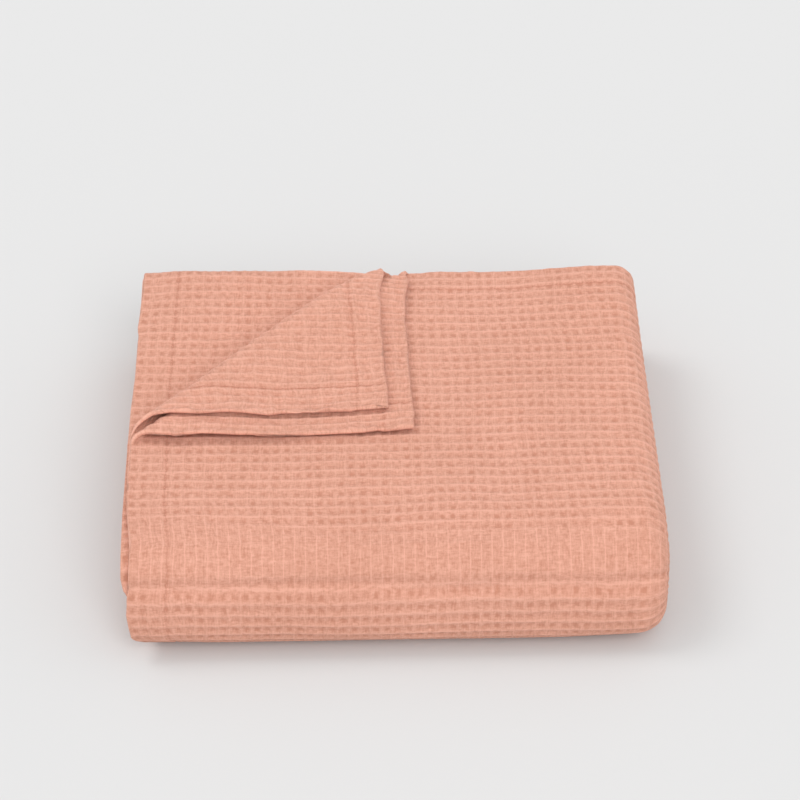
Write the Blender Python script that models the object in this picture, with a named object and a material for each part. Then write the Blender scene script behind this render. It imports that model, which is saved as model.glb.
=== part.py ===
"""A waffle-weave cotton bedspread, folded to a packet, with one corner of its two top layers turned back.

The cloth is cut flat at its full size, as one thin slab with a hem on all four sides, and is then folded
the way a person folds it: in half across, in three along, in half across again and in half along.
Every fold bends the whole stack that is there by then, so the layers lie side by side and never cross.
"""

import math
from collections import namedtuple

import bmesh
import bpy
from mathutils import Vector

# Driving sizes of the cloth, in metres.
CLOTH_WIDTH = 1.82
CLOTH_LENGTH = 2.50
CLOTH_THICK = 0.0030
HEM_WIDTH = 0.031
HEM_THICK = 0.0038
HEM_SLOPE = 0.004
LAYER_PITCH = 0.00415

# How finely the cloth is divided between its folds.
NEAR_STEPS = 6
FAR_STEPS = 4
SMALLEST_STEP = 0.0015

# Across runs from the left edge of the packet, along runs from its back edge to the front.
ACROSS, ALONG = 0, 1
UNDER, OVER = -1, 1

# One row for each fold, in the order of folding. At is where it lies on the cloth as folded so far.
Fold = namedtuple("Fold", "name direction at layers side steps")
TURN_BACK = CLOTH_LENGTH / 3
TURN_AGAIN = 2 * CLOTH_LENGTH / 3 + 0.0075
CENTRE_LINE = Fold("centre line", ACROSS, CLOTH_WIDTH / 2, 1, UNDER, 4)
INNER_TURN = Fold("inner turn", ALONG, TURN_AGAIN, 2, OVER, 4)
OUTER_TURN = Fold("outer turn", ALONG, TURN_BACK, 2, UNDER, 4)
RIGHT_SIDE = Fold("right side", ACROSS, CLOTH_WIDTH / 4 + 0.0027, 6, UNDER, 6)
FRONT = Fold("front", ALONG, CLOTH_LENGTH / 6, 12, UNDER, 8)
LAYERS = 2 * FRONT.layers

# The two top layers have a corner each, turned back over a slanting line. Back and side are where
# that line meets the back edge and the side edge; layer counts down from the top one.
Corner = namedtuple("Corner", "name layer back side radius")
CORNERS = (
    Corner("lower flap", 0, 0.2465, 0.2555, 0.0050),
    Corner("upper flap", 1, 0.2337, 0.2425, 0.0053 + LAYER_PITCH),
)
CORNER_STEPS = 6
SETTLE_DROP = 0.0048
SETTLE_LENGTH = 0.055
TURN_MARGIN = 0.02

# Places where the flaps stand off what lies under them. The upper flap rises with the lower one.
Lift = namedtuple("Lift", "lowest_layer from_left from_back reach height")
LIFTS = (
    Lift(0, 0.065, 0.255, 0.055, 0.0045),
    Lift(0, 0.245, 0.250, 0.040, 0.0010),
    Lift(1, 0.075, 0.225, 0.045, 0.0025),
    Lift(1, 0.225, 0.110, 0.050, 0.0015),
)

# Soft swells and dips of the top. Each fades out over its reach and towards the floor.
Swell = namedtuple("Swell", "name from_left from_back reach height")
SWELLS = (
    Swell("full left of the back", 0.10, 0.00, 0.14, 0.0085),
    Swell("slack middle of the back", 0.31, 0.00, 0.12, -0.0050),
    Swell("raised back right corner", 0.46, 0.00, 0.11, 0.0040),
    Swell("dip before the front", 0.17, 0.31, 0.10, -0.0015),
    Swell("full front right", 0.40, 0.36, 0.12, 0.0020),
)

# How far the cloth has slipped to the right, from the back to the front and on under the packet:
# the outer third of its length is drawn in at the front, where the inner thirds stand out.
Slip = namedtuple("Slip", "along outer inner")
SLIPS = (
    Slip(0.000, 0.0000, -0.0005),
    Slip(0.310, 0.0005, -0.0025),
    Slip(0.385, 0.0060, -0.0025),
    Slip(0.396, 0.0060, -0.0015),
    Slip(0.407, 0.0040, 0.0050),
    Slip(0.830, 0.0020, 0.0030),
)
SLIP_REACH = 0.25

# The front fold slumps under its own weight: it is lower and fuller at its foot than a round fold is.
SLUMP_START = 0.325
SLUMP_LENGTH = 0.100
SLUMP_DROP = 0.32
SLUMP_GROWTH = 1.6
SLUMP_BACK = 0.019
SLUMP_FOOT = 0.3
SLUMP_SHOULDER = 0.070

# The corners of the front are drawn in, sideways and back. Share is the part of the height they reach.
Tuck = namedtuple("Tuck", "name from_left sideways back share reach")
TUCKS = (
    Tuck("lower left", 0.00, 0.007, 0.003, 0.35, 0.10),
    Tuck("lower right", 0.46, -0.013, 0.002, 0.30, 0.10),
    Tuck("right", 0.46, -0.0045, 0.002, 1.20, 0.10),
)

SALMON = (0.776, 0.387, 0.292, 1.0)


def bend_radius(fold):
    """The radius of a fold at the middle of its stack."""
    return fold.layers * LAYER_PITCH / 2


def half_bend(fold):
    """Half the cloth's length in the bend, measured at the middle of its stack."""
    return math.pi * bend_radius(fold) / 2


def smooth(t):
    """0 before 0, 1 after 1 and a soft step between."""
    t = min(1.0, max(0.0, t))
    return t * t * (3 - 2 * t)


def fading(offset, reach):
    """1 where the offset is nothing and less and less away from there, as a bell does."""
    return math.exp(-(offset[0] ** 2 + offset[1] ** 2) / reach**2)


def spread(start, end, steps):
    """Evenly spaced values from start to end, both included."""
    return [start + (end - start) * k / steps for k in range(steps + 1)]


def lines_across():
    """Where the flat cloth is divided across its width: the same lines lie over each other once folded."""
    side, centre = half_bend(RIGHT_SIDE), half_bend(CENTRE_LINE)
    near = [HEM_WIDTH, HEM_WIDTH + HEM_SLOPE]
    near += spread(0, RIGHT_SIDE.at - side, NEAR_STEPS)
    near += spread(RIGHT_SIDE.at - side, RIGHT_SIDE.at + side, RIGHT_SIDE.steps)
    near += spread(RIGHT_SIDE.at + side, CENTRE_LINE.at - centre, FAR_STEPS)
    near += spread(CENTRE_LINE.at - centre, CENTRE_LINE.at, CENTRE_LINE.steps // 2)
    return near + [CLOTH_WIDTH - x for x in near]


def lines_along():
    """Where the flat cloth is divided along its length, one third after the other."""
    front, turn = half_bend(FRONT), half_bend(OUTER_TURN)
    panel = spread(0, FRONT.at - front, NEAR_STEPS)
    panel += spread(FRONT.at - front, FRONT.at + front, FRONT.steps)
    panel += spread(FRONT.at + front, 2 * FRONT.at, FAR_STEPS)
    lines = [HEM_WIDTH, HEM_WIDTH + HEM_SLOPE]
    lines += [CLOTH_LENGTH - y for y in lines]
    lines += [y for y in panel if y < TURN_BACK - turn]
    lines += [2 * TURN_BACK - y for y in panel if TURN_BACK + turn < 2 * TURN_BACK - y < TURN_AGAIN - turn]
    lines += [y + 2 * (TURN_AGAIN - TURN_BACK) for y in panel if y > turn]
    for fold in (OUTER_TURN, INNER_TURN):
        lines += spread(fold.at - turn, fold.at + turn, fold.steps)
    return lines


def inward(corner):
    """The level direction square to the corner's slanting line, away from its tip."""
    return Vector((1 / corner.back, 1 / corner.side, 0)).normalized()


def line_distance(corner):
    """How far the slanting line lies from the corner's tip."""
    return corner.back * inward(corner).x


def settle_start(corner):
    """How far past its bend a flap begins to settle: both flaps do so over the same line."""
    return line_distance(CORNERS[0]) - line_distance(corner)


def lines_of_corner(corner):
    """Distances from the corner's tip of the slanting lines that divide its bend and its flap."""
    bend = math.pi * corner.radius
    settling = bend + settle_start(corner)
    beyond = spread(0, bend, CORNER_STEPS) + [settling + SETTLE_LENGTH / 2, settling + SETTLE_LENGTH]
    return [line_distance(corner) - distance for distance in beyond]


def from_side(corner, x):
    """How far a place on the flat cloth is from the side hem that ends in this corner."""
    return x if corner.layer == 0 else CLOTH_WIDTH - x


def divide(sheet, origin, normal):
    """Cuts the sheet's faces along one straight line and keeps both sides."""
    parts = sheet.verts[:] + sheet.edges[:] + sheet.faces[:]
    bmesh.ops.bisect_plane(sheet, geom=parts, plane_co=origin, plane_no=normal)


def spaced(lines, length):
    """The lines in order, inside the cloth and no nearer to each other than the smallest step."""
    kept = []
    for line in sorted(lines):
        inside = SMALLEST_STEP < line < length - SMALLEST_STEP
        if inside and (not kept or line - kept[-1] > SMALLEST_STEP):
            kept.append(line)
    return kept


def flat_cloth():
    """The whole cloth, flat, as a closed slab that is a little thicker along its hems."""
    sheet = bmesh.new()
    bmesh.ops.create_grid(sheet, x_segments=1, y_segments=1, size=0.5)
    bmesh.ops.translate(sheet, verts=sheet.verts, vec=(0.5, 0.5, 0))
    bmesh.ops.scale(sheet, verts=sheet.verts, vec=(CLOTH_WIDTH, CLOTH_LENGTH, 1))
    for x in spaced(lines_across(), CLOTH_WIDTH):
        divide(sheet, (x, 0, 0), (1, 0, 0))
    for y in spaced(lines_along(), CLOTH_LENGTH):
        divide(sheet, (0, y, 0), (0, 1, 0))
    for corner in CORNERS:
        square = inward(corner)
        for distance in lines_of_corner(corner):
            x = from_side(corner, distance / square.x)
            divide(sheet, (x, 0, 0), (square.x if corner.layer == 0 else -square.x, square.y, 0))
    bmesh.ops.solidify(sheet, geom=sheet.faces[:], thickness=CLOTH_THICK)
    bmesh.ops.translate(sheet, verts=sheet.verts, vec=(0, 0, CLOTH_THICK / 2))
    for vertex in sheet.verts:
        vertex.co.z *= hem_swell(vertex.co.x, vertex.co.y)
    return sheet


def hem_swell(x, y):
    """How much thicker the cloth is at this place than in its middle."""
    from_edge = min(x, y, CLOTH_WIDTH - x, CLOTH_LENGTH - y)
    share = 1 - smooth((from_edge - HEM_WIDTH) / HEM_SLOPE)
    return 1 + share * (HEM_THICK / CLOTH_THICK - 1)


def folded(fold, point):
    """Where a point of the stack goes when the stack is bent right round at the fold."""
    radius, half = bend_radius(fold), half_bend(fold)
    middle = -(fold.layers - 1) * LAYER_PITCH / 2
    along, height = point[fold.direction], (point.z - middle) * fold.side
    start = fold.at - half
    moved = point.copy()
    if along <= start:
        return moved
    angle = min(math.pi, (along - start) / radius)
    past = max(0.0, along - fold.at - half)
    moved[fold.direction] = start + (radius - height) * math.sin(angle) - past
    moved.z = middle + fold.side * (radius - (radius - height) * math.cos(angle))
    return moved


def slip(point, is_outer):
    """How far the outer or an inner third has slipped at this point, which fades out to the right."""
    along = point.y
    for before, after in zip(SLIPS, SLIPS[1:]):
        if along <= after.along:
            break
    share = smooth((along - before.along) / (after.along - before.along))
    outer = before.outer + (after.outer - before.outer) * share
    inner = before.inner + (after.inner - before.inner) * share
    return (outer if is_outer else inner) * (1 - smooth(point.x / SLIP_REACH))


def turned_back(corner, point):
    """Folds the tip of a top layer back over its slanting line."""
    beyond = line_distance(corner) - point.dot(inward(corner))
    if beyond <= 0:
        return point
    level = -corner.layer * LAYER_PITCH
    height = point.z - level
    bend = math.pi * corner.radius
    angle = min(math.pi, beyond / corner.radius)
    past = max(0.0, beyond - bend)
    reach = (corner.radius - height) * math.sin(angle) - past
    place = point + inward(corner) * (beyond - reach)
    place.z = level + corner.radius - (corner.radius - height) * math.cos(angle)
    settled = smooth((past - settle_start(corner)) / SETTLE_LENGTH)
    lifted = sum(
        lift.height * fading((place.x - lift.from_left, place.y - lift.from_back), lift.reach)
        for lift in LIFTS
        if lift.lowest_layer <= corner.layer
    )
    place.z += (lifted - SETTLE_DROP) * settled
    return place


def swollen(point):
    """The height that the swells and dips add to a point of the packet, which stays flat on the floor."""
    added = sum(
        swell.height * fading((point.x - swell.from_left, point.y - swell.from_back), swell.reach)
        for swell in SWELLS
    )
    return added * point.z / (LAYERS * LAYER_PITCH)


def tucked(point):
    """How far a point of the packet moves as the corners of the front are drawn in."""
    height = LAYERS * LAYER_PITCH
    forward = smooth((point.y - FRONT.at + height / 2) / (height / 2))
    shift = Vector()
    for tuck in TUCKS:
        low = 1 - smooth(point.z / (height * tuck.share))
        near = 1 - smooth(abs(point.x - tuck.from_left) / tuck.reach)
        shift += Vector((tuck.sideways, -tuck.back, 0)) * low * near * forward
    return shift


def slumped(point):
    """Where a point of the packet goes as the front fold sinks: the farther forward, the more."""
    forward = max(0.0, (point.y - SLUMP_START) / SLUMP_LENGTH)
    upper = SLUMP_FOOT + (1 - SLUMP_FOOT) * smooth(point.z / SLUMP_SHOULDER)
    height = point.z * (1 - SLUMP_DROP * forward**SLUMP_GROWTH)
    return Vector((point.x, point.y - SLUMP_BACK * forward * upper, height))


def place_in_packet(flat):
    """Where a point of the flat cloth lies in the folded packet."""
    point = folded(CENTRE_LINE, flat)
    point = folded(INNER_TURN, point)
    point = folded(OUTER_TURN, point)
    point.x += slip(point, flat.y <= TURN_BACK)
    point = folded(RIGHT_SIDE, point)
    point = folded(FRONT, point)
    for corner in CORNERS:
        if max(from_side(corner, flat.x), flat.y) < corner.side + TURN_MARGIN:
            point = turned_back(corner, point)
    # The side that lies on the floor is pressed flat, hems and all.
    point.z = max(0.0, point.z + (LAYERS - 1) * LAYER_PITCH + CLOTH_THICK / 2)
    point += tucked(point)
    point.z += swollen(point)
    return slumped(point)


def fold_cloth(sheet):
    """Folds the flat slab and sets it down with the middle of its footprint at the origin, back to +Y."""
    for vertex in sheet.verts:
        vertex.co = place_in_packet(vertex.co)
        vertex.co.y = -vertex.co.y
    low = [min(vertex.co[k] for vertex in sheet.verts) for k in range(3)]
    high = [max(vertex.co[k] for vertex in sheet.verts) for k in range(3)]
    to_centre = (-(low[0] + high[0]) / 2, -(low[1] + high[1]) / 2, -low[2])
    bmesh.ops.translate(sheet, verts=sheet.verts, vec=to_centre)
    bmesh.ops.recalc_face_normals(sheet, faces=sheet.faces[:])


def salmon_cotton():
    """Matt salmon cotton."""
    material = bpy.data.materials.new("salmon_cotton")
    material.use_nodes = True
    surface = material.node_tree.nodes["Principled BSDF"]
    surface.inputs["Base Color"].default_value = SALMON
    surface.inputs["Roughness"].default_value = 0.9
    surface.inputs["Metallic"].default_value = 0.0
    return material


def make_bedspread():
    """The bedspread as one closed solid, in a collection of its own."""
    sheet = flat_cloth()
    fold_cloth(sheet)
    mesh = bpy.data.meshes.new("bedspread")
    sheet.to_mesh(mesh)
    sheet.free()
    mesh.shade_smooth()
    mesh.set_sharp_from_angle(angle=math.radians(50))
    mesh.materials.append(salmon_cotton())
    collection = bpy.data.collections.new("folded_bedspread")
    bpy.context.scene.collection.children.link(collection)
    collection.objects.link(bpy.data.objects.new("bedspread", mesh))


def main():
    for leftover in list(bpy.data.objects):
        bpy.data.objects.remove(leftover)
    make_bedspread()


main()
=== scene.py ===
"""A folded waffle-weave bedspread with one corner of its upper layers turned back.

The file is laid out as a Blender add-on and is run as a script. The cloth is made flat, with its woven
cells, and then folded by the same steps as the solid that it stands for. Small shifts of its own make the
weave, the flaps and the layers uneven.
"""

import math
from collections import namedtuple

import bmesh
import bpy
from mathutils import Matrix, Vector, noise


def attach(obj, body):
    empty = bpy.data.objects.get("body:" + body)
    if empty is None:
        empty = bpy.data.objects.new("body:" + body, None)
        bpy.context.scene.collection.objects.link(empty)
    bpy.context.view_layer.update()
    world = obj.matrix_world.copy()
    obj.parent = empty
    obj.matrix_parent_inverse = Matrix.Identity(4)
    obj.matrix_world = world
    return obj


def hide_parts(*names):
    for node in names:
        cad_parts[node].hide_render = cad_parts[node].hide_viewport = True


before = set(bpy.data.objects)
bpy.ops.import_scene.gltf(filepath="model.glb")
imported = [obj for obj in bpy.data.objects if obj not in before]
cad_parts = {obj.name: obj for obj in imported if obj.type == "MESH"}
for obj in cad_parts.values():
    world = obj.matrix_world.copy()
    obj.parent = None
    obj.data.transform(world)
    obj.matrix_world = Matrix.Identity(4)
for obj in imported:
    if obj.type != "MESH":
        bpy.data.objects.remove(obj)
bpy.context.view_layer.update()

bl_info = {
    "name": "Folded waffle bedspread",
    "version": (1, 0, 0),
    "blender": (4, 5, 0),
    "location": "3D View > Sidebar > Bedspread",
    "description": "Dresses the folded bedspread with its waffle weave, hems and stitching",
    "category": "Object",
}

# Without a seed of its own, the noise would pull the weave another way in each run.
NOISE_SEED = 5
noise.seed_set(NOISE_SEED)

# Sizes of the cloth, in metres, as in the solid.
CLOTH_WIDTH = 1.82
CLOTH_LENGTH = 2.50
CLOTH_THICK = 0.0030
SIDE_HEM = 0.034
BACK_HEM = 0.028
HEM_THICK = 0.0038
HEM_SLOPE = 0.004
LAYER_PITCH = 0.00415
RIM_ROUNDING = 0.0014

# Across runs from the left edge of the packet, along runs from its back edge to the front.
ACROSS, ALONG = 0, 1
UNDER, OVER = -1, 1

Fold = namedtuple("Fold", "name direction at layers side steps")
TURN_BACK = CLOTH_LENGTH / 3
TURN_AGAIN = 2 * CLOTH_LENGTH / 3 + 0.0075
CENTRE_LINE = Fold("centre line", ACROSS, CLOTH_WIDTH / 2, 1, UNDER, 6)
INNER_TURN = Fold("inner turn", ALONG, TURN_AGAIN, 2, OVER, 6)
OUTER_TURN = Fold("outer turn", ALONG, TURN_BACK, 2, UNDER, 6)
RIGHT_SIDE = Fold("right side", ACROSS, CLOTH_WIDTH / 4 + 0.0027, 6, UNDER, 10)
FRONT = Fold("front", ALONG, CLOTH_LENGTH / 6, 12, UNDER, 14)
LAYERS = 2 * FRONT.layers
STACK = LAYERS * LAYER_PITCH

Corner = namedtuple("Corner", "name layer back side radius")
CORNERS = (
    Corner("lower flap", 0, 0.2465, 0.2555, 0.0050),
    Corner("upper flap", 1, 0.2337, 0.2425, 0.0053 + LAYER_PITCH),
)
CORNER_STEPS = 8
SETTLE_DROP = 0.0048
SETTLE_LENGTH = 0.055
TURN_MARGIN = 0.02
NEAR_STEPS = 8
FAR_STEPS = 6
SMALLEST_STEP = 0.0015

Lift = namedtuple("Lift", "lowest_layer from_left from_back reach height")
LIFTS = (
    Lift(0, 0.065, 0.255, 0.055, 0.0045),
    Lift(0, 0.245, 0.250, 0.040, 0.0010),
    Lift(1, 0.075, 0.225, 0.045, 0.0025),
    Lift(1, 0.225, 0.110, 0.050, 0.0015),
)

Swell = namedtuple("Swell", "name from_left from_back reach height")
SWELLS = (
    Swell("full left of the back", 0.10, 0.00, 0.14, 0.0085),
    Swell("slack middle of the back", 0.31, 0.00, 0.12, -0.0050),
    Swell("raised back right corner", 0.46, 0.00, 0.11, 0.0040),
    Swell("dip before the front", 0.17, 0.31, 0.10, -0.0015),
    Swell("full front right", 0.40, 0.36, 0.12, 0.0020),
)

Slip = namedtuple("Slip", "along outer inner")
SLIPS = (
    Slip(0.000, 0.0000, -0.0005),
    Slip(0.310, 0.0005, -0.0025),
    Slip(0.385, 0.0060, -0.0025),
    Slip(0.396, 0.0060, -0.0015),
    Slip(0.407, 0.0040, 0.0050),
    Slip(0.830, 0.0020, 0.0030),
)
SLIP_REACH = 0.25

SLUMP_START = 0.325
SLUMP_LENGTH = 0.100
SLUMP_DROP = 0.32
SLUMP_GROWTH = 1.6
SLUMP_BACK = 0.019
SLUMP_FOOT = 0.3
SLUMP_SHOULDER = 0.070

Tuck = namedtuple("Tuck", "name from_left sideways back share reach")
TUCKS = (
    Tuck("lower left", 0.00, 0.007, 0.003, 0.35, 0.10),
    Tuck("lower right", 0.46, -0.013, 0.002, 0.30, 0.10),
    Tuck("right", 0.46, -0.0045, 0.002, 1.20, 0.10),
)

# Where the packet's back left corner lies in the part's frame.
PACKET_LEFT = -0.230184
PACKET_BACK = 0.201692

# The faces of the cloth that show from near, by their side and place on the flat cloth. There each cell
# of the weave is modelled. A slant keeps only the cells that a turned corner carries or uncovers: its
# tip, and how far from there it reaches across and along. A cover leaves out what a flap hides.
Area = namedtuple("Area", "name side left right back front slant cover")
Slant = namedtuple("Slant", "across along back side keeps_tip")
Cover = namedtuple("Cover", "left right back front from_tip")
UNDER_FLAP = Cover(0.0, 0.228, 0.0, 0.231, 1.08)
BETWEEN_FLAPS = Cover(0.045, 0.262, 0.040, 0.272, 0.0)
AREAS = (
    Area("top and front", 1, 0.0, 0.478, 0.0, 0.449, Slant(0.0, 0.0, 0.2465, 0.2555, False), UNDER_FLAP),
    Area("lower flap", -1, 0.0, 0.262, 0.0, 0.272, Slant(0.0, 0.0, 0.2465, 0.2555, True), BETWEEN_FLAPS),
    Area("upper flap", 1, 1.568, 1.82, 0.0, 0.262, Slant(1.82, 0.0, 0.2440, 0.2530, True), None),
    Area("third layer", 1, 1.568, 1.82, 1.412, 1.690, Slant(1.82, 1.6667, 0.2440, 0.2530, True), None),
    Area("lower right side", 1, 0.440, 0.476, 0.458, 0.830, None, None),
)
CELL_CUTS = 4
SLANT_MARGIN = 0.05

# A face smaller than this, in square metres, is part of a cell.
FINE_FACE = 1.2e-5

# Above the rim's height the cloth's faces are a little plumper than the solid's, less the depth of the
# relief, but never thinner than this. Faces without cells lie at this share of the pockets' depth.
RIM_HEIGHT = 0.0012
PLUMPNESS = 0.0003
THINNEST = 0.00015
PLAIN_DEPTH = 0.4

# Where the cuts of a cell go, so that they lie closer near its ridges.
EASING = ((0.0, 0.0), (0.2, 0.13), (0.4, 0.37), (0.6, 0.63), (0.8, 0.87), (1.0, 1.0))

# Chance makes the cloth uneven on waves of these lengths, by this amount. The level keeps the waves apart.
Wave = namedtuple("Wave", "across along level amount")

# How far the weave is pulled out of line: everywhere, at the cloth's edges and in the turned corner.
COARSE = Wave(0.15, 0.12, 0.3, 0.0036)
FINE = Wave(0.05, 0.04, 7.7, 0.0013)
RAGGED = Wave(0.010, 0.010, 2.2, 0.0014)
LIMP = Wave(0.045, 0.045, 6.1, 0.0024)
WAVY = Wave(0.017, 0.017, 8.8, 0.0016)
ROLLED_EDGE = 0.0018
RAGGED_REACH = 0.012
LIMP_REACH = 0.05
EDGE_FREEDOM = 0.30
EDGE_REACH = 0.09
TURNED_SIDE = 0.22

# How the turned corner is pressed at its back end, slides to the right, hangs slack and curls up.
FLAP_PRESS = 0.0022
FLAP_PRESS_REACH = 0.07
FLAP_SLIDE = 0.0050
FLAP_SLACK = 0.0040
UPPER_SLACK = 0.0025
FLAP_CURL = Wave(0.022, 0.022, 3.3, 0.0020)
FLAP_END_DOWN = Swell("flaps' back end, lower", 0.243, 0.0, 0.030, -0.0045)
FLAP_END_RIGHT = Swell("flaps' back end, farther right", 0.235, 0.0, 0.045, 0.0060)

# How far the layers stand out unevenly at the left and the back, and how uneven the top and the front are.
LEFT_PLIES = Wave(0.09, 0.007, 1.5, 0.0016)
BACK_PLIES = Wave(0.09, 0.007, 4.5, 0.0012)
TOP_WAVE = Wave(0.075, 0.075, 0.0, 0.0016)
TOP_RIPPLE = Wave(0.028, 0.028, 9.0, 0.0007)
PLIES_REACH = 0.20
FREE_HEIGHT = 0.030
LEFT_BULGE = 0.0018
LEFT_REACH = 0.08
CORNER_DRAWN_IN = 0.016
CREASE_HEIGHT = 0.062
CREASE_WANDER = 0.003
CREASE_WIDTH = 0.0050
CREASE_DEPTH = 0.0032

# The cloth is drawn tight over the front's shoulder, from the first of these lines to the second.
TAUT_START = 0.338
TAUT_END = 0.391
TAUT_WANDER = Wave(0.07, 0.03, 5.0, 0.006)
TAUT_PATCHES = Wave(0.05, 0.02, 8.0, 0.3)

# The shape of a cell: its high ridges, its lower ones, and how its depth varies from place to place.
RIDGE_CURVE = 1.4
LOW_RIDGE = 0.58
LOW_RIDGE_REACH = 0.38
CELL_CHANGE = Wave(1.9, 1.9, 0.5, 1.0)
PLACE_CHANGE = Wave(0.06, 0.06, 3.0, 0.6)
DEPTH_CHANGE = 0.45
TAUT_FLATTENS = 0.7
YARN_WIDTH = 0.0021
YARN_HEIGHT = 0.00022
WARP_YARNS = 10.0
WEFT_YARNS = 12.0

Light = namedtuple("Light", "name place spread_angle strength")
LIGHTS = (
    Light("window_light", (-0.75, 0.40, 1.10), 26.0, 0.66),
    Light("room_light", (0.30, -1.0, 0.95), 42.0, 1.18),
)
ROOM_BRIGHTNESS = 0.85
FLOOR_REACH = 4.0

# The camera looks at its target from this far, turned and raised by these angles. The lens is in mm.
CAMERA_TARGET = (0.0084, 0.0678, 0.0496)
CAMERA_TURN = -1.265
CAMERA_RISE = 39.5
CAMERA_DISTANCE = 2.566
CAMERA_LENS = 126.045
CAMERA_SENSOR = 36.0

# How much longer the outermost layer is round a bend than the middle of its stack.
OUTER_STRETCH = 1.85

# A seam runs along one hem, on one side of the cloth. At is its distance from the cloth's left or back.
Seam = namedtuple("Seam", "direction at start end side")
SEAM_INSET = 0.0016
SEAM_DEPTH = 0.0007
SEAM_WIDTH = 0.0020
THREAD_SUNK = 0.0004
SEAMS = (
    Seam(ALONG, SIDE_HEM - SEAM_INSET, 0.004, 0.830, 1),
    Seam(ALONG, SIDE_HEM - SEAM_INSET, 0.004, 0.270, -1),
    Seam(ALONG, CLOTH_WIDTH - SIDE_HEM + SEAM_INSET, 0.004, 0.400, 1),
    Seam(ALONG, CLOTH_WIDTH - SIDE_HEM + SEAM_INSET, 1.410, 1.690, 1),
    Seam(ACROSS, BACK_HEM - SEAM_INSET, 0.004, 0.470, 1),
    Seam(ACROSS, BACK_HEM - SEAM_INSET, 0.004, 0.262, -1),
    Seam(ACROSS, BACK_HEM - SEAM_INSET, 1.555, 1.816, 1),
)


class ClothSettings(bpy.types.PropertyGroup):
    """Sizes of the weave and of the stitching."""

    cells_across: bpy.props.IntProperty(
        name="Cells across", description="Woven cells over the width of the cloth", default=197, min=20
    )
    cells_along: bpy.props.IntProperty(
        name="Cells along", description="Woven cells over the length of the cloth", default=223, min=20
    )
    pocket_depth: bpy.props.FloatProperty(
        name="Pocket depth",
        description="How far the middle of a woven cell lies below its ridges",
        default=0.0016,
        unit="LENGTH",
        subtype="DISTANCE",
    )
    stitch_length: bpy.props.FloatProperty(
        name="Stitch length",
        description="Length of one stitch of the hems",
        default=0.0026,
        unit="LENGTH",
        subtype="DISTANCE",
    )
    stitch_pitch: bpy.props.FloatProperty(
        name="Stitch pitch",
        description="From one stitch to the next",
        default=0.0036,
        unit="LENGTH",
        subtype="DISTANCE",
    )
    thread_width: bpy.props.FloatProperty(
        name="Thread width",
        description="Width of the sewing thread",
        default=0.0006,
        unit="LENGTH",
        subtype="DISTANCE",
    )


class ColourSettings(bpy.types.PropertyGroup):
    """Colours of the cloth, with painted shade in its pockets, the thread and the floor."""

    ridge: bpy.props.FloatVectorProperty(
        name="Ridges", description="Colour of the woven ridges", default=(0.858, 0.449, 0.336), subtype="COLOR"
    )
    # The pockets' colour is painted shade: the cloth's colour made darker and warmer, as the hollows of the
    # cells shade it.
    shaded_pocket: bpy.props.FloatVectorProperty(
        name="Pockets", description="Colour in the woven pockets", default=(0.62, 0.270, 0.180), subtype="COLOR"
    )
    thread: bpy.props.FloatVectorProperty(
        name="Thread", description="Colour of the sewing thread", default=(0.80, 0.40, 0.30), subtype="COLOR"
    )
    floor: bpy.props.FloatVectorProperty(
        name="Floor", description="Colour of the floor", default=(0.65, 0.65, 0.65), subtype="COLOR"
    )


def smooth(t):
    """0 before 0, 1 after 1 and a soft step between."""
    t = min(1.0, max(0.0, t))
    return t * t * (3 - 2 * t)


def near(spot, point):
    """1 where the point is at this spot of the packet and less and less away from there, like a bell."""
    across, along = point.x - spot.from_left, point.y - spot.from_back
    return math.exp(-(across**2 + along**2) / spot.reach**2)


def chance(x, y, wave):
    """A value about 0 that wanders softly over x and y, on waves of these lengths."""
    return noise.noise(Vector((x / wave.across, y / wave.along, wave.level)))


def chance_pull(flat, wave):
    """A pull that wanders softly over the flat cloth, on waves of these lengths."""
    return noise.noise_vector(Vector((flat.x / wave.across, flat.y / wave.along, wave.level)))


def from_edge(x, y):
    """How far this place on the flat cloth is from the nearest edge of the cloth."""
    return min(x, y, CLOTH_WIDTH - x, CLOTH_LENGTH - y)


def bend_radius(fold):
    """The radius of a fold at the middle of its stack."""
    return fold.layers * LAYER_PITCH / 2


def half_bend(fold):
    """Half the cloth's length in the bend, measured at the middle of its stack."""
    return math.pi * bend_radius(fold) / 2


def spread(start, end, steps):
    """Evenly spaced values from start to end, both included."""
    return [start + (end - start) * k / steps for k in range(steps + 1)]


def inward(corner):
    """The level direction square to the corner's slanting line, away from its tip."""
    return Vector((1 / corner.back, 1 / corner.side, 0)).normalized()


def line_distance(corner):
    """How far the slanting line lies from the corner's tip."""
    return corner.back * inward(corner).x


def settle_start(corner):
    """How far past its bend a flap begins to settle: both flaps do so over the same line."""
    return line_distance(CORNERS[0]) - line_distance(corner)


def from_side(corner, x):
    """How far a place on the flat cloth is from the side hem that ends in this corner."""
    return x if corner.layer == 0 else CLOTH_WIDTH - x


def from_hem(x, y):
    """How far this place is from the nearest hem, and below 0 on a hem."""
    return min(min(x, CLOTH_WIDTH - x) - SIDE_HEM, min(y, CLOTH_LENGTH - y) - BACK_HEM)


def hem_share(x, y):
    """1 on the hems and 0 away from them."""
    return 1 - smooth(from_hem(x, y) / HEM_SLOPE)


def hem_swell(x, y):
    """How much thicker the cloth is at this place than in its middle."""
    return 1 + hem_share(x, y) * (HEM_THICK / CLOTH_THICK - 1)


def folded(fold, point):
    """Where a point of the stack goes when the stack is bent right round at the fold."""
    radius, half = bend_radius(fold), half_bend(fold)
    middle = -(fold.layers - 1) * LAYER_PITCH / 2
    along, height = point[fold.direction], (point.z - middle) * fold.side
    start = fold.at - half
    moved = point.copy()
    if along <= start:
        return moved
    angle = min(math.pi, (along - start) / radius)
    past = max(0.0, along - fold.at - half)
    moved[fold.direction] = start + (radius - height) * math.sin(angle) - past
    moved.z = middle + fold.side * (radius - (radius - height) * math.cos(angle))
    return moved


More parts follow.
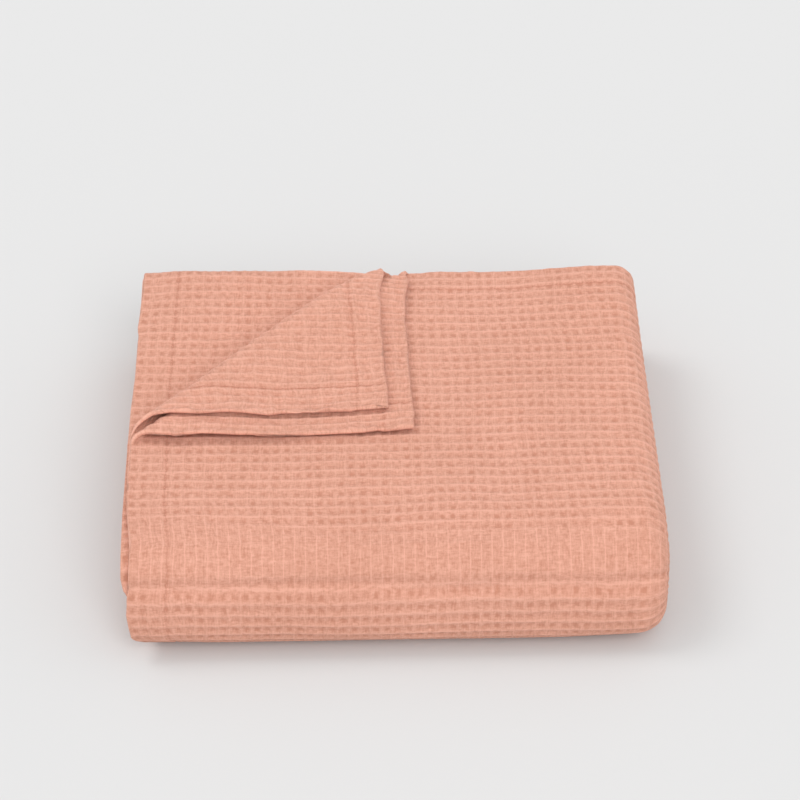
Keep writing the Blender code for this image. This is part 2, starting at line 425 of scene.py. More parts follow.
def slip(point, is_outer):
    """How far the outer or an inner third has slipped at this point, which fades out to the right."""
    along = point.y
    for before, after in zip(SLIPS, SLIPS[1:]):
        if along <= after.along:
            break
    share = smooth((along - before.along) / (after.along - before.along))
    outer = before.outer + (after.outer - before.outer) * share
    inner = before.inner + (after.inner - before.inner) * share
    return (outer if is_outer else inner) * (1 - smooth(point.x / SLIP_REACH))


def flap_radius(corner, point):
    """The radius of a flap's bend, which is pressed flatter towards the back edge of the packet."""
    line = Vector((-inward(corner).y, inward(corner).x, 0))
    from_end = (point - Vector((corner.back, 0, 0))).dot(line)
    return corner.radius - FLAP_PRESS * (1 - smooth(from_end / FLAP_PRESS_REACH))


def turned_back(corner, point):
    """Folds the tip of a top layer back over its slanting line."""
    beyond = line_distance(corner) - point.dot(inward(corner))
    if beyond <= 0:
        return point
    level = -corner.layer * LAYER_PITCH
    height = point.z - level
    radius = flap_radius(corner, point)
    angle = min(math.pi, beyond / radius)
    past = max(0.0, beyond - math.pi * radius)
    reach = (radius - height) * math.sin(angle) - past
    place = point + inward(corner) * (beyond - reach)
    place.z = level + radius - (radius - height) * math.cos(angle)
    settled = smooth((past - settle_start(corner)) / SETTLE_LENGTH)
    lifted = sum(lift.height * near(lift, place) for lift in LIFTS if lift.lowest_layer <= corner.layer)
    place.z += (lifted - SETTLE_DROP) * settled
    return place


def swollen(point):
    """The height that the swells and dips add to a point of the packet, which stays flat on the floor."""
    added = sum(swell.height * near(swell, point) for swell in SWELLS)
    return added * point.z / STACK


def tucked(point):
    """How far a point of the packet moves as the corners of the front are drawn in."""
    forward = smooth((point.y - FRONT.at + STACK / 2) / (STACK / 2))
    shift = Vector()
    for tuck in TUCKS:
        low = 1 - smooth(point.z / (STACK * tuck.share))
        near = 1 - smooth(abs(point.x - tuck.from_left) / tuck.reach)
        shift += Vector((tuck.sideways, -tuck.back, 0)) * low * near * forward
    return shift


def slumped(point):
    """Where a point of the packet goes as the front fold sinks: the farther forward, the more."""
    forward = max(0.0, (point.y - SLUMP_START) / SLUMP_LENGTH)
    upper = SLUMP_FOOT + (1 - SLUMP_FOOT) * smooth(point.z / SLUMP_SHOULDER)
    height = point.z * (1 - SLUMP_DROP * forward**SLUMP_GROWTH)
    return Vector((point.x, point.y - SLUMP_BACK * forward * upper, height))


def place_in_packet(flat):
    """Where a point of the flat cloth lies in the folded packet."""
    point = folded(CENTRE_LINE, flat)
    point = folded(INNER_TURN, point)
    point = folded(OUTER_TURN, point)
    point.x += slip(point, flat.y <= TURN_BACK)
    point = folded(RIGHT_SIDE, point)
    point = folded(FRONT, point)
    for corner in CORNERS:
        if max(from_side(corner, flat.x), flat.y) < corner.side + TURN_MARGIN:
            point = turned_back(corner, point)
    point.z = max(0.0, point.z + (LAYERS - 1) * LAYER_PITCH + CLOTH_THICK / 2)
    point += tucked(point)
    point.z += swollen(point)
    return slumped(point)


def woven(place, fold, pitch):
    """How many cells of the weave lie before this place on the flat cloth.

    The outer layer is the longest round a bend, so its cells lie closer on the flat cloth there.
    """
    start, length = fold.at - half_bend(fold), 2 * half_bend(fold)
    return (place + (OUTER_STRETCH - 1) * min(max(place - start, 0.0), length)) / pitch


def unwoven(cells, fold, pitch):
    """The place on the flat cloth that has so many cells of the weave before it."""
    start, length = fold.at - half_bend(fold), 2 * half_bend(fold)
    woven_length = cells * pitch
    in_bend = min(max(woven_length - start, 0.0), length * OUTER_STRETCH)
    return woven_length - in_bend * (1 - 1 / OUTER_STRETCH)


def column_pitch(settings):
    """The width of a woven cell."""
    return (CLOTH_WIDTH + (OUTER_STRETCH - 1) * 2 * half_bend(RIGHT_SIDE)) / settings.cells_across


def row_pitch(settings):
    """The length of a woven cell."""
    return (CLOTH_LENGTH + (OUTER_STRETCH - 1) * 2 * half_bend(FRONT)) / settings.cells_along


def drawn(flat):
    """Where a point of the flat cloth lies once the weave has pulled it a little out of line."""
    side = min(flat.x, CLOTH_WIDTH - flat.x)
    edge = from_edge(flat.x, flat.y)
    free = EDGE_FREEDOM + (1 - EDGE_FREEDOM) * smooth(edge / EDGE_REACH)
    ragged = chance_pull(flat, RAGGED) * (1 - smooth(edge / RAGGED_REACH))
    limp = chance_pull(flat, LIMP) * (1 - smooth(edge / LIMP_REACH))
    rolled = ragged * (1 - smooth(side / RAGGED_REACH))
    turned = 1 - smooth((max(side, flat.y) - TURNED_SIDE) / 0.04)
    pulled = chance_pull(flat, COARSE) * COARSE.amount * free + chance_pull(flat, FINE) * FINE.amount * free
    pulled += ragged * RAGGED.amount
    pulled += (limp * LIMP.amount + chance_pull(flat, WAVY) * WAVY.amount + rolled * ROLLED_EDGE) * turned
    return Vector((flat.x + pulled.x, flat.y + pulled.y, flat.z))


def slid(flat, point):
    """Where a point goes as the turned corner slides and slackens, and as the front's left edge bulges."""
    for corner in CORNERS:
        side = from_side(corner, flat.x)
        share = 1 - side / corner.back - flat.y / corner.side
        if share > 0:
            edge = 1 - smooth(min(side, flat.y) / RAGGED_REACH)
            curl = max(0.0, chance(flat.x, flat.y, FLAP_CURL))
            slack = 4 * flat.y / corner.side * (1 - flat.y / corner.side) * (1 - smooth(side / 0.10))
            point.x += FLAP_SLIDE * smooth(share / 0.25)
            point.y += (FLAP_SLACK + UPPER_SLACK * corner.layer) * slack * smooth(share / 0.15)
            point.z += FLAP_CURL.amount * curl * edge * smooth(share / 0.15)
    outer = smooth((flat.y - 0.375) / 0.02) * (1 - smooth((flat.y - 0.46) / 0.03))
    point.x -= LEFT_BULGE * outer * (1 - smooth(flat.x / LEFT_REACH))
    return point


def uneven(point):
    """Where a point of the packet goes as its layers and faces lose their evenness."""
    high = smooth(point.z / FREE_HEIGHT)
    to_left = 1 - smooth(point.x / PLIES_REACH)
    to_back = 1 - smooth(point.y / PLIES_REACH)
    near_left = 1 - smooth(point.x / LEFT_REACH)
    ply = chance(point.y, point.z, LEFT_PLIES)
    end = chance(point.x, point.z, BACK_PLIES)
    wave = chance(point.x, point.y, TOP_WAVE)
    ripple = chance(point.x, point.y, TOP_RIPPLE)
    crease_height = CREASE_HEIGHT + CREASE_WANDER * noise.noise(Vector((point.x / 0.11, 2.0, 0.0)))
    crease = math.exp(-(((point.z - crease_height) / CREASE_WIDTH) ** 2)) * smooth((point.y - 0.36) / 0.03)
    down = FLAP_END_DOWN.height * near(FLAP_END_DOWN, point)
    tips = near(FLAP_END_RIGHT, point) * smooth((point.z - 0.090) / 0.010)
    drawn_in = (1 - smooth(point.z / 0.045)) ** 2 * near_left * smooth((point.y - 0.34) / 0.05)
    rightward = LEFT_PLIES.amount * ply * high * to_left
    return Vector((
        point.x + rightward + CORNER_DRAWN_IN * drawn_in + FLAP_END_RIGHT.height * tips,
        point.y + BACK_PLIES.amount * end * high * to_back - CREASE_DEPTH * crease,
        point.z + (TOP_WAVE.amount * wave + TOP_RIPPLE.amount * ripple + down) * high,
    ))


def laid(flat):
    """Where a point of the flat cloth lies in the part's own frame."""
    point = uneven(slid(flat, place_in_packet(drawn(flat))))
    return Vector((PACKET_LEFT + point.x, PACKET_BACK - point.y, point.z))


def tautness(x, y):
    """1 where the cloth is drawn tight over the shoulder of the front fold, and 0 away from there."""
    if x > CLOTH_WIDTH / 2:
        return 0.0
    wandered = y + TAUT_WANDER.amount * chance(x, y, TAUT_WANDER)
    patchy = 0.85 + TAUT_PATCHES.amount * chance(x, y, TAUT_PATCHES)
    start = TAUT_START + 0.022 * smooth(x / 0.25)
    return patchy * smooth((wandered - start) / 0.016) * (1 - smooth((wandered - TAUT_END) / 0.007))


def shows_reverse(x, y, side):
    """Whether this is the cloth's other face, where the upright ridges are the high ones."""
    return side < 0 or (x > CLOTH_WIDTH / 2 and y < CLOTH_LENGTH / 4)


def relief(settings, x, y, side):
    """How far the cloth's surface lies below its highest ridges at this place."""
    column = woven(x, RIGHT_SIDE, column_pitch(settings))
    row = woven(y, FRONT, row_pitch(settings))
    high, low = (column, row) if shows_reverse(x, y, side) else (row, column)
    level = (1 - 2 * abs(high - round(high))) ** RIDGE_CURVE
    upright = LOW_RIDGE * (1 - smooth(abs(low - round(low)) / LOW_RIDGE_REACH))
    varied = CELL_CHANGE.amount * chance(column, row, CELL_CHANGE)
    varied += PLACE_CHANGE.amount * chance(x, y, PLACE_CHANGE)
    crinkled = 0.25 if shows_reverse(x, y, side) else -0.35
    inside = 0.2 + 0.8 * smooth((from_edge(x, y) - RIM_ROUNDING) / 0.006)
    depth = settings.pocket_depth * inside * (1 + crinkled * hem_share(x, y))
    depth = depth * (1 - TAUT_FLATTENS * tautness(x, y)) * (1 + DEPTH_CHANGE * varied)
    yarns = YARN_HEIGHT * noise.noise(Vector((x / YARN_WIDTH, y / YARN_WIDTH, side * 900)))
    seam = math.exp(-(((from_hem(x, y) + SEAM_INSET) / SEAM_WIDTH) ** 2))
    return depth * (1 - level) * (1 - upright) + SEAM_DEPTH * seam + yarns


def eased(cells):
    """Moves the cuts of a cell towards its ridges, where the surface bends most."""
    whole = math.floor(cells)
    part = cells - whole
    for (start, at_start), (end, at_end) in zip(EASING, EASING[1:]):
        if part <= end:
            return whole + at_start + (at_end - at_start) * (part - start) / (end - start)
    return whole + part


def cut(cloth, faces, origin, normal):
    """Cuts only these faces along one straight line, and gives back what they have become."""
    edges = {edge for face in faces for edge in face.edges}
    corners = {vertex for face in faces for vertex in face.verts}
    parts = [*faces, *edges, *corners]
    result = bmesh.ops.bisect_plane(cloth, geom=parts, plane_co=origin, plane_no=normal, dist=1e-6)
    return [part for part in result["geom"] if isinstance(part, bmesh.types.BMFace)]


def cut_all(cloth, faces, lines, direction):
    """Cuts these faces along all the lines, the middle one first, and gives back what they have become."""
    if not lines or not faces:
        return faces
    half = len(lines) // 2
    origin, normal = Vector(), Vector()
    origin[direction], normal[direction] = lines[half], 1.0
    faces = cut(cloth, faces, origin, normal)
    before = [face for face in faces if face.calc_center_median()[direction] < lines[half]]
    after = [face for face in faces if face.calc_center_median()[direction] >= lines[half]]
    return cut_all(cloth, before, lines[:half], direction) + cut_all(cloth, after, lines[half + 1 :], direction)


def on_side(face, side):
    """Whether this is one of the broad faces of that side, and not the cloth's rim."""
    return face.normal.z * side > 0.9


def within(area, middle):
    """Whether this place on the flat cloth lies inside the four borders of an area or a cover."""
    return area.left < middle.x < area.right and area.back < middle.y < area.front


def shows(area, middle):
    """Whether a cell in the area shows, so that its weave is modelled."""
    if not within(area, middle):
        return False
    if area.slant is None:
        return True
    slant = area.slant
    share = abs(middle.x - slant.across) / slant.back + abs(middle.y - slant.along) / slant.side
    if area.cover and within(area.cover, middle) and share > area.cover.from_tip:
        return False
    return share < 1 + SLANT_MARGIN if slant.keeps_tip else share > 1 - 3 * SLANT_MARGIN


def cell_lines(start, end, fold, pitch, count):
    """The ridges of the weave between two places on the cloth, but not the cloth's own edges."""
    first, last = math.ceil(woven(start, fold, pitch)), math.floor(woven(end, fold, pitch))
    return [unwoven(k, fold, pitch) for k in range(first, last + 1) if 0 < k < count]


def cut_cells(cloth, settings):
    """Divides the areas that show into the cells of the weave, and each cell that shows more finely."""
    for area in AREAS:
        columns = cell_lines(area.left, area.right, RIGHT_SIDE, column_pitch(settings), settings.cells_across)
        rows = cell_lines(area.back, area.front, FRONT, row_pitch(settings), settings.cells_along)
        cloth.normal_update()
        faces = [face for face in cloth.faces if on_side(face, area.side) and not is_fine(face)]
        faces = cut_all(cloth, faces, [columns[0], columns[-1]], ACROSS)
        faces = cut_all(cloth, faces, [rows[0], rows[-1]], ALONG)
        faces = [face for face in faces if within(area, face.calc_center_median())]
        faces = cut_all(cloth, faces, columns[1:-1], ACROSS)
        faces = cut_all(cloth, faces, rows[1:-1], ALONG)
        cells = [face for face in faces if shows(area, face.calc_center_median())]
        edges = list({edge for face in cells for edge in face.edges})
        bmesh.ops.subdivide_edges(cloth, edges=edges, cuts=CELL_CUTS, use_grid_fill=True)


def is_fine(face):
    """Whether a face is part of a cell that is modelled."""
    middle = face.calc_center_median()
    in_area = any(on_side(face, area.side) and shows(area, middle) for area in AREAS)
    return in_area and face.calc_area() < FINE_FACE


def lines_across():
    """Where the rest of the cloth is divided across its width, so that it bends smoothly."""
    side, centre = half_bend(RIGHT_SIDE), half_bend(CENTRE_LINE)
    near = [SIDE_HEM, SIDE_HEM + HEM_SLOPE]
    near += spread(0, RIGHT_SIDE.at - side, NEAR_STEPS)
    near += spread(RIGHT_SIDE.at - side, RIGHT_SIDE.at + side, RIGHT_SIDE.steps)
    near += spread(RIGHT_SIDE.at + side, CENTRE_LINE.at - centre, FAR_STEPS)
    near += spread(CENTRE_LINE.at - centre, CENTRE_LINE.at, CENTRE_LINE.steps // 2)
    return near + [CLOTH_WIDTH - x for x in near]


def lines_along():
    """Where the rest of the cloth is divided along its length, one third after the other."""
    front, turn = half_bend(FRONT), half_bend(OUTER_TURN)
    panel = spread(0, FRONT.at - front, NEAR_STEPS)
    panel += spread(FRONT.at - front, FRONT.at + front, FRONT.steps)
    panel += spread(FRONT.at + front, 2 * FRONT.at, FAR_STEPS)
    lines = [BACK_HEM, BACK_HEM + HEM_SLOPE]
    lines += [CLOTH_LENGTH - y for y in lines]
    lines += [y for y in panel if y < TURN_BACK - turn]
    lines += [2 * TURN_BACK - y for y in panel if TURN_BACK + turn < 2 * TURN_BACK - y < TURN_AGAIN - turn]
    lines += [y + 2 * (TURN_AGAIN - TURN_BACK) for y in panel if y > turn]
    for fold in (OUTER_TURN, INNER_TURN):
        lines += spread(fold.at - turn, fold.at + turn, fold.steps)
    return lines


def lines_of_corner(corner):
    """Distances from the corner's tip of the slanting lines that divide its bend and its flap."""
    bend = math.pi * corner.radius
    settling = bend + settle_start(corner)
    beyond = spread(0, bend, CORNER_STEPS) + spread(settling, settling + SETTLE_LENGTH, 4)[1:]
    return [line_distance(corner) - distance for distance in beyond]


def spaced(lines, length):
    """The lines in order, inside the cloth and no nearer to each other than the smallest step."""
    kept = []
    for line in sorted(lines):
        inside = RIM_ROUNDING + SMALLEST_STEP < line < length - SMALLEST_STEP - RIM_ROUNDING
        if inside and (not kept or line - kept[-1] > SMALLEST_STEP):
            kept.append(line)
    return kept


def cut_bends(cloth):
    """Divides all the other faces along the lines where the cloth will bend."""
    cloth.normal_update()
    faces = [face for face in cloth.faces if not is_fine(face)]
    faces = cut_all(cloth, faces, spaced(lines_across(), CLOTH_WIDTH), ACROSS)
    faces = cut_all(cloth, faces, spaced(lines_along(), CLOTH_LENGTH), ALONG)
    for corner in CORNERS:
        square = inward(corner)
        for distance in lines_of_corner(corner):
            x = from_side(corner, distance / square.x)
            normal = (square.x if corner.layer == 0 else -square.x, square.y, 0)
            faces = cut(cloth, faces, (x, 0, 0), normal)


def flat_cloth(settings):
    """The whole cloth, flat, as a closed slab with a rounded rim, divided where it shows or bends."""
    cloth = bmesh.new()
    bmesh.ops.create_cube(cloth, size=1.0)
    bmesh.ops.translate(cloth, verts=cloth.verts, vec=(0.5, 0.5, 0))
    bmesh.ops.scale(cloth, verts=cloth.verts, vec=(CLOTH_WIDTH, CLOTH_LENGTH, CLOTH_THICK))
    rim = [edge for edge in cloth.edges if edge.verts[0].co.z * edge.verts[1].co.z > 0]
    bmesh.ops.bevel(cloth, geom=rim, offset=RIM_ROUNDING, affect="EDGES", segments=2, profile=0.5, material=-1)
    cloth.normal_update()
    cut_cells(cloth, settings)
    cut_bends(cloth)
    return cloth


def weave_cloth(cloth, settings):
    """Gives the flat cloth its cell coordinates, its thick hems and the relief of its weave."""
    cells = cloth.loops.layers.uv.new("cells")
    plain = cloth.verts.layers.float.new("plain")
    taut = cloth.verts.layers.float.new("taut")
    reverse = cloth.verts.layers.float.new("reverse")
    cloth.normal_update()
    fine = {vertex for face in cloth.faces if is_fine(face) for vertex in face.verts}
    column, row = column_pitch(settings), row_pitch(settings)
    for vertex in cloth.verts:
        vertex.co.x = unwoven(eased(woven(vertex.co.x, RIGHT_SIDE, column)), RIGHT_SIDE, column)
        vertex.co.y = unwoven(eased(woven(vertex.co.y, FRONT, row)), FRONT, row)
    for face in cloth.faces:
        for loop in face.loops:
            place = loop.vert.co
            loop[cells].uv = (woven(place.x, RIGHT_SIDE, column), woven(place.y, FRONT, row))
    for vertex in cloth.verts:
        place = vertex.co
        swell = hem_swell(place.x, place.y)
        depth = PLAIN_DEPTH * settings.pocket_depth
        if vertex in fine:
            depth = relief(settings, place.x, place.y, place.z)
        vertex[taut] = tautness(place.x, place.y)
        vertex[reverse] = 1.0 if shows_reverse(place.x, place.y, place.z) else 0.0
        vertex[plain] = 0.0 if vertex in fine else 1.0
        height = max(THINNEST, abs(place.z) * swell + PLUMPNESS - depth)
        place.z = math.copysign(height, place.z) if abs(place.z) > RIM_HEIGHT else place.z * swell


def as_object(shape, name):
    """Turns the finished bmesh into an object of the scene, with smooth faces."""
    mesh = bpy.data.meshes.new(name)
    shape.to_mesh(mesh)
    shape.free()
    mesh.shade_smooth()
    piece = bpy.data.objects.new(name, mesh)
    bpy.context.scene.collection.objects.link(piece)
    return piece


class Shade:
    """A socket of a material. Sums on it add Math nodes, and node adds any other node."""

    def __init__(self, tree, socket=None):
        self.tree = tree
        self.socket = socket

    def node(self, kind, settings=None, inputs=None, output=0):
        """Adds a node, with its settings first and then the values or links of its sockets."""
        added = self.tree.nodes.new(kind)
        for name, value in (settings or {}).items():
            setattr(added, name, value)
        for name, value in (inputs or {}).items():
            if isinstance(value, Shade):
                self.tree.links.new(value.socket, added.inputs[name])
            else:
                added.inputs[name].default_value = value
        return Shade(self.tree, added.outputs[output])

    def math(self, operation, *values):
        """Adds a Math node for these values."""
        return self.node("ShaderNodeMath", {"operation": operation}, dict(enumerate(values)))

    def __add__(self, other):
        return self.math("ADD", self, other)

    def __sub__(self, other):
        return self.math("SUBTRACT", self, other)

    def __rsub__(self, other):
        return self.math("SUBTRACT", other, self)

    def __mul__(self, other):
        return self.math("MULTIPLY", self, other)

    __radd__ = __add__
    __rmul__ = __mul__

    def step(self, start, end):
        """0 below start, 1 above end and a soft step between."""
        return self.node(
            "ShaderNodeMapRange",
            {"interpolation_type": "SMOOTHSTEP"},
            {"Value": self, "From Min": start, "From Max": end, "To Min": 0.0, "To Max": 1.0},
        )

    def blend(self, kind, factor, low, high):
        """Blends two colours by the factor, in the way that kind names. The colours' sockets are 6 and 7."""
        low, high = (end if isinstance(end, Shade) else (*end[:3], 1.0) for end in (low, high))
        kinds = {"data_type": "RGBA", "blend_type": kind}
        return self.node("ShaderNodeMix", kinds, {"Factor": factor, 6: low, 7: high}, 2)

    def between(self, low, high):
        """The colour from low to high, by this value."""
        return self.blend("MIX", self, low, high)

    def cloud(self, scale, detail):
        """A soft noise over the places that this value holds."""
        return self.node("ShaderNodeTexNoise", None, {"Vector": self, "Scale": scale, "Detail": detail})

    def attribute(self, name):
        """The number that the mesh keeps under this name at each vertex."""
        return self.node("ShaderNodeAttribute", {"attribute_name": name}, None, 2)

    def place(self):
        """The place on the object itself, which doesn't depend on where the object is."""
        return self.node("ShaderNodeTexCoord", None, None, 3)


def new_material(name):
    """A new material, with its shader and the start of its node tree."""
    material = bpy.data.materials.new(name)
    material.use_nodes = True
    tree = material.node_tree
    return material, tree.nodes["Principled BSDF"], Shade(tree)


def join(value, shader, name):
    """Links a value to a socket of the shader."""
    value.tree.links.new(value.socket, shader.inputs[name])


def join_relief(height, shader):
    """Links a fine relief, in metres, to the shader's normal."""
    bump = height.node("ShaderNodeBump", None, {"Strength": 1.0, "Distance": 1.0, "Height": height})
    join(bump, shader, "Normal")


def waffle_cotton(settings, colours):
    """Washed salmon cotton: pale ridges with painted highlight lines, pockets painted darker and warmer as
    shade, twisted yarns and a soft fuzz.
    """
    material, shader, start = new_material("waffle_cotton")
    uv = start.node("ShaderNodeUVMap", {"uv_map": "cells"})
    x = start.node("ShaderNodeSeparateXYZ", None, {0: uv}, 0)
    y = start.node("ShaderNodeSeparateXYZ", None, {0: uv}, 1)
    place = start.place()
    plain, taut, reverse = start.attribute("plain"), start.attribute("taut"), start.attribute("reverse")
    wander, loose = uv.cloud(0.9, 1.0), uv.cloud(0.55, 2.0)
    patches, speckle = place.cloud(9.0, 3.0), place.cloud(900.0, 2.0)
    from_column = x.math("PINGPONG", x + (wander - 0.5) * 0.16, 0.5)
    from_row = y.math("PINGPONG", y + (wander - 0.5) * 0.12, 0.5)
    from_level = from_row + (from_column - from_row) * reverse
    from_upright = from_column + (from_row - from_column) * reverse
    shaded_pocket = from_upright.step(0.10, 0.42) * from_level.step(0.17, 0.44)
    level_line = 1.0 - from_level.step(0.03, 0.18)
    upright_line = 1.0 - from_upright.step(0.01, 0.10)
    open_weave = loose.step(0.32, 0.66)

    # Single yarns are thick and thin, along the rows and along the columns.
    streaks = []
    for size in ((1.6, 6.5, 1.0), (6.5, 1.6, 1.0)):
        scaled = start.node("ShaderNodeVectorMath", {"operation": "MULTIPLY"}, {0: uv, 1: size})
        streaks.append(scaled.cloud(1.0, 3.0))
    slubs = streaks[0] + streaks[1] - 1.0

    # A hem's seam draws the cloth in along a thin line, and the colour is darkened there as painted shade in
    # that groove.
    across = x.math("PINGPONG", x, settings.cells_across / 2) - (SIDE_HEM - SEAM_INSET) / column_pitch(settings)
    along = y.math("PINGPONG", y, settings.cells_along / 2) - (BACK_HEM - SEAM_INSET) / row_pitch(settings)
    seam = 1.0 - across.math("ABSOLUTE", across).step(0.02, 0.16)
    seam = seam.math("MAXIMUM", seam, 1.0 - along.math("ABSOLUTE", along).step(0.02, 0.14))

    # The yarns of a cell lie over and under each other, and the gaps between them are darkened as painted
    # shade.
    warp, weft = x * WARP_YARNS, y * WEFT_YARNS
    over = (warp + weft).math("PINGPONG", warp.math("FLOOR", warp) + weft.math("FLOOR", weft), 1.0)
    round_warp = 1.0 - warp.math("PINGPONG", warp + 0.5, 0.5) * 2.0
    round_weft = 1.0 - weft.math("PINGPONG", weft + 0.5, 0.5) * 2.0
    yarn = over * (1.0 - round_warp) + (1.0 - over) * (1.0 - round_weft)

    # Painted shade: the pockets are mixed towards their darker, warmer colour, less where the cloth is drawn
    # taut and on its reverse face, and more or less from cell to cell.
    deep = 0.43 + shaded_pocket * (open_weave * 0.50 + 0.10) * (1.0 - taut * 0.85) * (1.0 - reverse * 0.55)
    # Painted highlight: the thin lines along the ridges are mixed towards the pale ridge colour, and the
    # upright lines a little, as light catches the ridges.
    ridge_highlight = 0.44 - open_weave * 0.16 - (streaks[0] - 0.5) * 0.9
    deep = deep - level_line * ridge_highlight * (1.0 - taut) - upright_line * (taut * 0.30 + 0.14)
    deep = deep + level_line * taut * (open_weave * 0.35 - 0.10)
    # Painted shade darkens the seam's groove and the gaps between the yarns; slubs and speckle vary the tone at
    # random.
    deep = deep + seam * 0.34 + slubs * 1.35 + speckle * 0.60 - 0.30 + (1.0 - yarn) * 0.15 - 0.05
    tone = deep.between(colours.ridge, colours.shaded_pocket)
    worn = patches.step(0.35, 0.70).between((0.965, 0.955, 0.945), (1.0, 1.0, 1.0))
    join(start.blend("MULTIPLY", 1.0, tone, worn), shader, "Base Color")
    join(speckle * 0.12 + 0.84, shader, "Roughness")

    join_relief(yarn * 0.00026 + speckle * 0.00022 - slubs * 0.0006 - plain * shaded_pocket * 0.0011, shader)
    shader.inputs["Specular IOR Level"].default_value = 0.18
    shader.inputs["Sheen Weight"].default_value = 0.18
    shader.inputs["Sheen Roughness"].default_value = 0.55
    shader.inputs["Sheen Tint"].default_value = (1.0, 0.80, 0.72, 1.0)
    return material


def sewing_thread(colours):
    """Two-ply cotton thread, close to the cloth's colour."""
    material, shader, start = new_material("sewing_thread")
    fibre = start.place().cloud(1800.0, 2.0)
    join(fibre.between([0.86 * c for c in colours.thread], colours.thread), shader, "Base Color")
    join(fibre * 0.15 + 0.70, shader, "Roughness")
    join_relief(fibre * 0.0001, shader)
    shader.inputs["Specular IOR Level"].default_value = 0.25
    return material


def pale_floor(colours):
    """A matt pale floor with the faintest unevenness."""
    material, shader, start = new_material("pale_floor")
    cloud = start.place().cloud(1.5, 2.0)
    join(cloud.between([0.99 * c for c in colours.floor], colours.floor), shader, "Base Color")
    shader.inputs["Roughness"].default_value = 0.95
    shader.inputs["Specular IOR Level"].default_value = 0.1
    return material


class BEDSPREAD_OT_waffle_cloth(bpy.types.Operator):
    """Makes the waffle cloth flat and folds it into the packet"""

    bl_idname = "bedspread.waffle_cloth"
    bl_label = "Waffle cloth"

    def execute(self, context):
        settings, colours = context.scene.bedspread_cloth, context.scene.bedspread_colours
        cloth = flat_cloth(settings)
        weave_cloth(cloth, settings)
        for vertex in cloth.verts:
            vertex.co = laid(vertex.co)
        bmesh.ops.recalc_face_normals(cloth, faces=cloth.faces[:])
        piece = as_object(cloth, "waffle_cloth")
        piece.data.materials.append(waffle_cotton(settings, colours))
        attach(piece, "root")
        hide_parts("bedspread")
        return {"FINISHED"}


class BEDSPREAD_OT_hem_stitching(bpy.types.Operator):
    """Sews the hems with small stitches that follow the folded cloth"""

    bl_idname = "bedspread.hem_stitching"
    bl_label = "Hem stitching"

    def execute(self, context):
        settings, colours = context.scene.bedspread_cloth, context.scene.bedspread_colours
        thread = bmesh.new()
        for seam in SEAMS:
            made = bmesh.ops.create_icosphere(thread, subdivisions=1, radius=0.5)["verts"]
            size, middle, step = Vector([settings.thread_width] * 3), Vector([seam.at] * 3), Vector()
            size[seam.direction] = settings.stitch_length
            middle[seam.direction] = seam.start
            step[seam.direction] = settings.stitch_pitch
            middle.z = seam.side * (HEM_THICK / 2 - THREAD_SUNK)
            bmesh.ops.scale(thread, verts=made, vec=size)
            bmesh.ops.translate(thread, verts=made, vec=middle)
            row = [part for vertex in made for part in (vertex, *vertex.link_edges, *vertex.link_faces)]
            bmesh.ops.spin(
                thread,
                geom=list(set(row)),
                axis=(0, 0, 1),
                cent=middle,
                dvec=step,
                angle=0,
                steps=int((seam.end - seam.start) / settings.stitch_pitch),
                use_duplicate=True,
            )
        for vertex in thread.verts:
            vertex.co = laid(vertex.co)
        bmesh.ops.recalc_face_normals(thread, faces=thread.faces[:])
        piece = as_object(thread, "hem_stitching")
        piece.data.materials.append(sewing_thread(colours))
        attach(piece, "root")
        return {"FINISHED"}


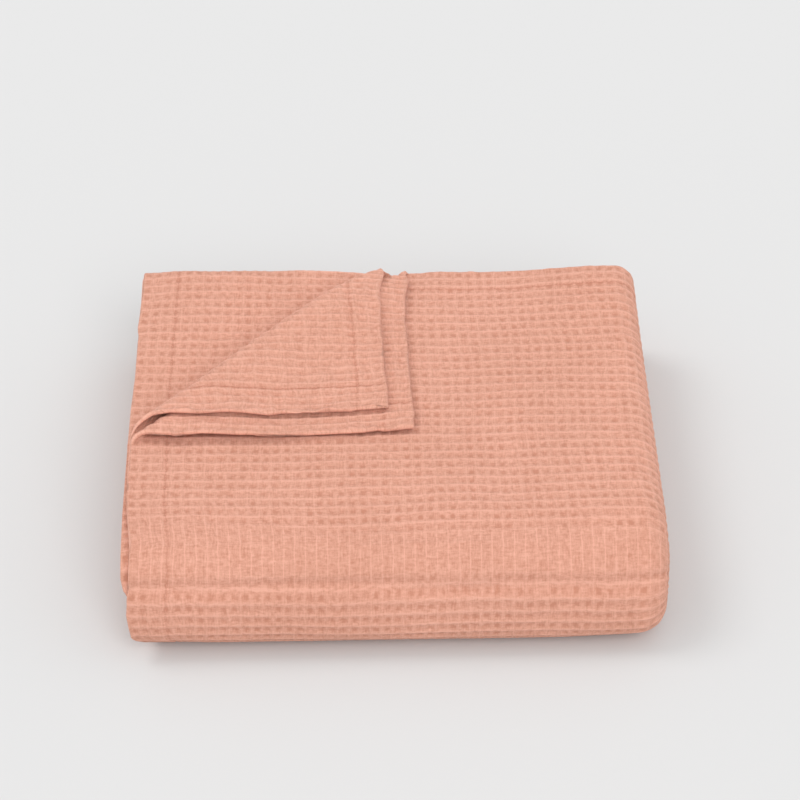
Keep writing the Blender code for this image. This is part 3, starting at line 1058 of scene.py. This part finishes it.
class BEDSPREAD_OT_stage(bpy.types.Operator):
    """Adds the pale floor, the soft light and the camera"""

    bl_idname = "bedspread.stage"
    bl_label = "Stage"

    def execute(self, context):
        scene, colours = context.scene, context.scene.bedspread_colours
        shape = bmesh.new()
        bmesh.ops.create_grid(shape, x_segments=8, y_segments=8, size=FLOOR_REACH)
        floor = as_object(shape, "floor")
        floor.data.materials.append(pale_floor(colours))

        world = bpy.data.worlds.new("soft_room")
        world.use_nodes = True
        room = world.node_tree.nodes["Background"]
        room.inputs["Color"].default_value = (1.0, 1.0, 1.0, 1.0)
        room.inputs["Strength"].default_value = ROOM_BRIGHTNESS
        scene.world = world
        for name, place, spread_angle, strength in LIGHTS:
            light = bpy.data.objects.new(name, bpy.data.lights.new(name, "SUN"))
            light.data.angle = math.radians(spread_angle)
            light.data.energy = strength
            light.rotation_euler = Vector(place).to_track_quat("Z", "Y").to_euler()
            scene.collection.objects.link(light)

        camera = bpy.data.objects.new("camera", bpy.data.cameras.new("camera"))
        turn, rise = math.radians(CAMERA_TURN), math.radians(CAMERA_RISE)
        back = Vector((math.sin(turn) * math.cos(rise), -math.cos(turn) * math.cos(rise), math.sin(rise)))
        camera.location = Vector(CAMERA_TARGET) + back * CAMERA_DISTANCE
        camera.rotation_euler = back.to_track_quat("Z", "Y").to_euler()
        camera.data.sensor_width = CAMERA_SENSOR
        camera.data.lens = CAMERA_LENS
        camera.data.clip_end = 50.0
        scene.collection.objects.link(camera)
        scene.camera = camera
        scene.view_settings.view_transform = "Standard"
        return {"FINISHED"}


class BEDSPREAD_PT_pieces(bpy.types.Panel):
    """Lists the pieces of the bedspread"""

    bl_idname = "BEDSPREAD_PT_pieces"
    bl_label = "Bedspread"
    bl_space_type = "VIEW_3D"
    bl_region_type = "UI"
    bl_category = "Bedspread"

    def draw(self, context):
        for group in (context.scene.bedspread_cloth, context.scene.bedspread_colours):
            for name in group.bl_rna.properties.keys():
                if name not in ("rna_type", "name"):
                    self.layout.prop(group, name)
        for operator in OPERATORS:
            self.layout.operator(operator.bl_idname)


OPERATORS = (BEDSPREAD_OT_waffle_cloth, BEDSPREAD_OT_hem_stitching, BEDSPREAD_OT_stage)
CLASSES = (ClothSettings, ColourSettings, *OPERATORS, BEDSPREAD_PT_pieces)


def register():
    for each in CLASSES:
        bpy.utils.register_class(each)
    bpy.types.Scene.bedspread_cloth = bpy.props.PointerProperty(type=ClothSettings)
    bpy.types.Scene.bedspread_colours = bpy.props.PointerProperty(type=ColourSettings)


def unregister():
    del bpy.types.Scene.bedspread_colours
    del bpy.types.Scene.bedspread_cloth
    for each in reversed(CLASSES):
        bpy.utils.unregister_class(each)


def main():
    register()
    bpy.ops.bedspread.waffle_cloth()
    bpy.ops.bedspread.hem_stitching()
    bpy.ops.bedspread.stage()


if __name__ == "__main__":
    main()
